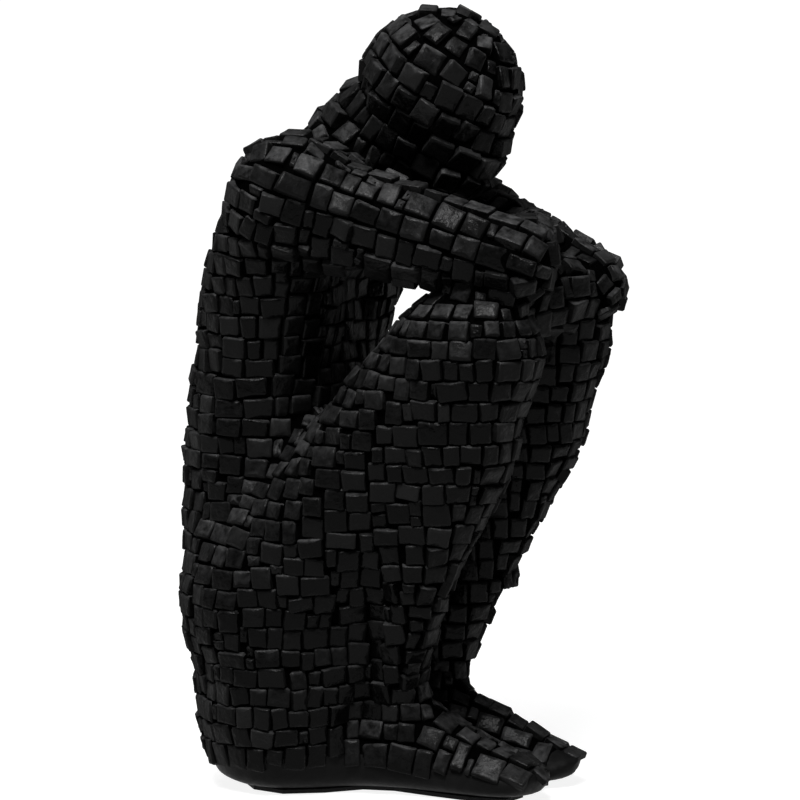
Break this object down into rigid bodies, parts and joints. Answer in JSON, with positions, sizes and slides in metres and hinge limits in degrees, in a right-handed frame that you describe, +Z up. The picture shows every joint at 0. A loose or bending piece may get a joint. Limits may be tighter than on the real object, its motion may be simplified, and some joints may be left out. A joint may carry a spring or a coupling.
{
  "type": "mosaic figure sculpture",
  "caption": "Seated figure with knees drawn up, arms folded on the knees and head bowed, covered in black mosaic tiles, on a low smooth base with a felt underside.",
  "frame": {"origin": "middle of the figure's box, on the table under the felt sheet", "axes": "+Z up, the figure faces -Y, its left hand side is +X"},
  "size_m": [0.1406, 0.1626, 0.2993],
  "materials": {
    "mosaic": "satin black tiles set in dark mortar",
    "casting": "rough cast resin, hidden",
    "base": "smooth satin black cast resin",
    "felt": "black felt",
    "dowel": "plain steel pin, hidden"
  },
  "bodies": {
    "root": {"trunk_mosaic": "mosaic", "trunk_core": "casting", "yoke_mosaic": "mosaic", "yoke_core": "casting", "head_mosaic": "mosaic", "head_core": "casting", "right_upper_arm_mosaic": "mosaic", "right_upper_arm_core": "casting", "right_forearm_mosaic": "mosaic", "right_forearm_core": "casting", "right_leg_mosaic": "mosaic", "right_leg_core": "casting", "right_foot_mosaic": "mosaic", "right_foot_core": "casting", "left_upper_arm_mosaic": "mosaic", "left_upper_arm_core": "casting", "left_forearm_mosaic": "mosaic", "left_forearm_core": "casting", "left_leg_mosaic": "mosaic", "left_leg_core": "casting", "left_foot_mosaic": "mosaic", "left_foot_core": "casting", "plinth": "base", "felt_sheet": "felt", "neck_dowel": "dowel", "right_shoulder_dowel": "dowel", "right_elbow_dowel": "dowel", "right_hip_dowel": "dowel", "right_ankle_dowel": "dowel", "right_chest_dowel": "dowel", "left_shoulder_dowel": "dowel", "left_elbow_dowel": "dowel", "left_hip_dowel": "dowel", "left_ankle_dowel": "dowel", "left_chest_dowel": "dowel"}
  },
  "joints": []
}
